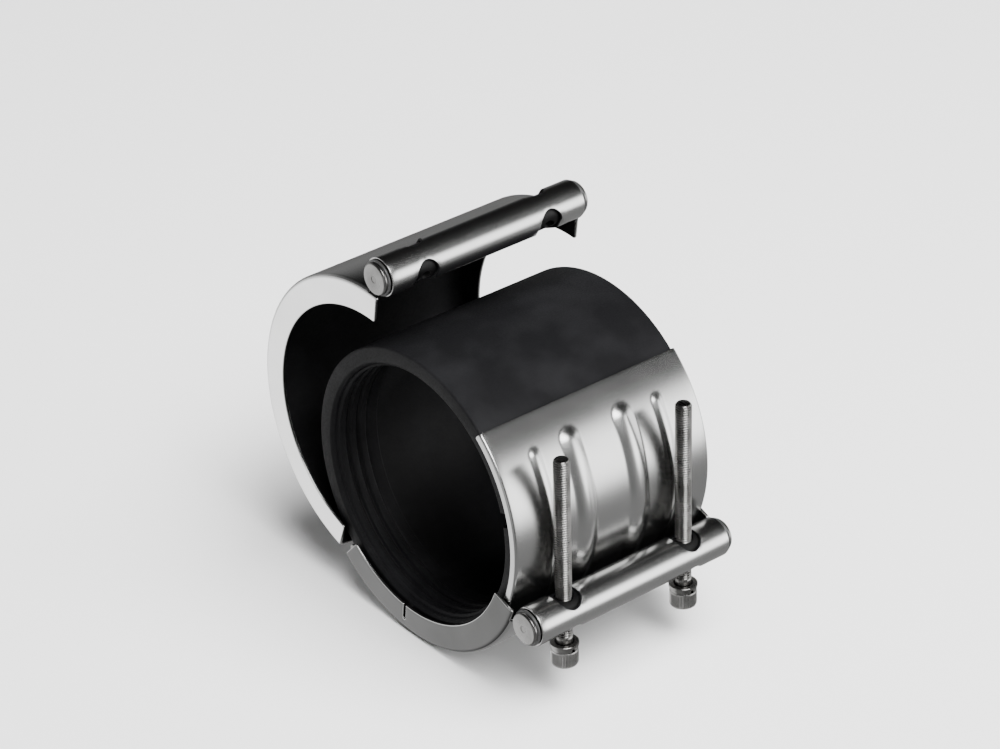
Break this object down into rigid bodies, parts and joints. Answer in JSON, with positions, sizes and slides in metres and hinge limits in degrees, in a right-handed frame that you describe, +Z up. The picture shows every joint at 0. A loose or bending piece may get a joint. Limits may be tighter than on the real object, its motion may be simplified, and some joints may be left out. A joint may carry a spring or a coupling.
{
  "type": "wrap-around pipe coupling",
  "caption": "Open wrap-around pipe coupling: hinged sheet casing over a slit rubber sleeve, beaded bridging strip, rolled-loop lock bars and long socket head screws.",
  "frame": {"origin": "middle of the sealing sleeve's bore, on the pipe's axis", "axes": "+X along the pipe, +Y away from the lock side, +Z up; the lock bars and screws stand at -Y and the hinge at +Y, -Z"},
  "size_m": [0.1212, 0.1996, 0.1914],
  "materials": {
    "casing_steel": "brushed stainless sheet",
    "strip_steel": "fine brushed stainless sheet",
    "hinge_steel": "brushed stainless, spot welded",
    "bar_steel": "turned steel bar, satin",
    "screw_steel": "zinc plated, knurled head",
    "washer_steel": "zinc plated",
    "spring_steel": "black oxide spring wire",
    "sleeve_rubber": "moulded, satin black",
    "retainer_nylon": "natural nylon"
  },
  "bodies": {
    "lower_case": {"lower_shell": "casing_steel", "lower_hinge_leaf": "hinge_steel", "hinge_pin": "bar_steel", "hinge_pin_left_clip": "spring_steel", "hinge_pin_right_clip": "spring_steel", "sealing_sleeve": "sleeve_rubber", "strip_insert": "strip_steel"},
    "upper_case": {"upper_shell": "casing_steel", "upper_hinge_leaf": "hinge_steel"},
    "lower_bar": {"lower_lock_bar": "bar_steel", "lower_bar_left_ring": "spring_steel", "lower_bar_right_ring": "spring_steel", "left_screw_retainer": "retainer_nylon", "right_screw_retainer": "retainer_nylon"},
    "upper_bar": {"upper_lock_bar": "bar_steel", "upper_bar_left_ring": "spring_steel", "upper_bar_right_ring": "spring_steel"},
    "left_washers": {"left_washer": "washer_steel", "left_spring_washer": "washer_steel"},
    "left_screw": {"left_screw": "screw_steel"},
    "right_washers": {"right_washer": "washer_steel", "right_spring_washer": "washer_steel"},
    "right_screw": {"right_screw": "screw_steel"}
  },
  "joints": [
    {"name": "casing_hinge", "type": "hinge", "parent": "lower_case", "child": "upper_case", "pos_m": [0, 0.05497, -0.06105], "axis": [1, 0, 0], "range_deg": [0, 25.5]},
    {"name": "lower_bar_turn", "type": "hinge", "parent": "lower_case", "child": "lower_bar", "pos_m": [0, -0.08028, -0.03162], "axis": [1, 0, 0], "range_deg": [0, 16]},
    {"name": "upper_bar_turn", "type": "hinge", "parent": "upper_case", "child": "upper_bar", "pos_m": [0, 0.02412, 0.10367], "axis": [1, 0, 0], "range_deg": [-20, 18]},
    {"name": "left_screw_slide", "type": "slide", "parent": "lower_bar", "child": "left_washers", "axis": [0, 0.0349, 0.9994], "range_m": [-0.06, 0.00662]},
    {"name": "left_screw_spin", "type": "hinge", "parent": "left_washers", "child": "left_screw", "pos_m": [-0.0365, -0.08028, -0.03162], "axis": [0, 0.0349, 0.9994], "continuous": true},
    {"name": "right_screw_slide", "type": "slide", "parent": "lower_bar", "child": "right_washers", "axis": [0, 0.0349, 0.9994], "range_m": [-0.06, 0.00662]},
    {"name": "right_screw_spin", "type": "hinge", "parent": "right_washers", "child": "right_screw", "pos_m": [0.0365, -0.08028, -0.03162], "axis": [0, 0.0349, 0.9994], "continuous": true}
  ]
}
